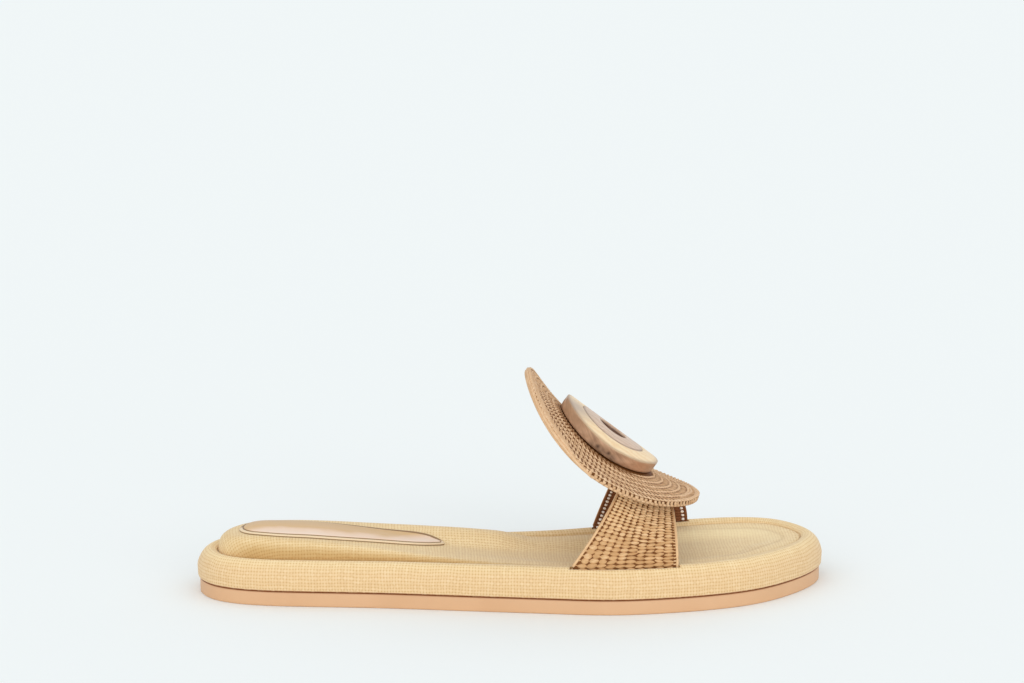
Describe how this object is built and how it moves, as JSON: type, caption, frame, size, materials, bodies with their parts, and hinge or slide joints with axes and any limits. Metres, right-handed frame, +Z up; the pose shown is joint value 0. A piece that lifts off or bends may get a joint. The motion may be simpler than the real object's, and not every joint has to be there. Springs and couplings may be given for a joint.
{
  "type": "mule",
  "caption": "Flat slip-on mule for the right foot: fabric-wrapped platform, padded footbed, arched raffia strap and a flared raffia rosette with a wooden medallion.",
  "frame": {"origin": "on the floor, under the centre of the sole's bounding box", "axes": "+X from the heel to the toe, +Y to the inner (medial) side of the foot, +Z up"},
  "size_m": [0.262, 0.0914, 0.0929],
  "materials": {
    "outsole_rubber": "smooth peach-tan rubber",
    "woven_fabric": "straw-coloured plain weave with a few thicker threads",
    "footbed_fabric": "the same straw-coloured weave over padding",
    "patch_leather": "rose-beige leather with a soft sheen",
    "strap_raffia": "camel raffia, crocheted in columns",
    "rosette_raffia": "camel raffia, crocheted in rounds",
    "light_wood": "polished pale wood",
    "mauve_wood": "polished mauve-brown wood"
  },
  "bodies": {
    "root": {"outsole": "outsole_rubber", "midsole": "woven_fabric", "footbed": "footbed_fabric", "heel_patch": "patch_leather", "strap": "strap_raffia", "rosette": "rosette_raffia", "medallion_ring": "light_wood", "medallion_inlay": "mauve_wood"}
  },
  "joints": []
}
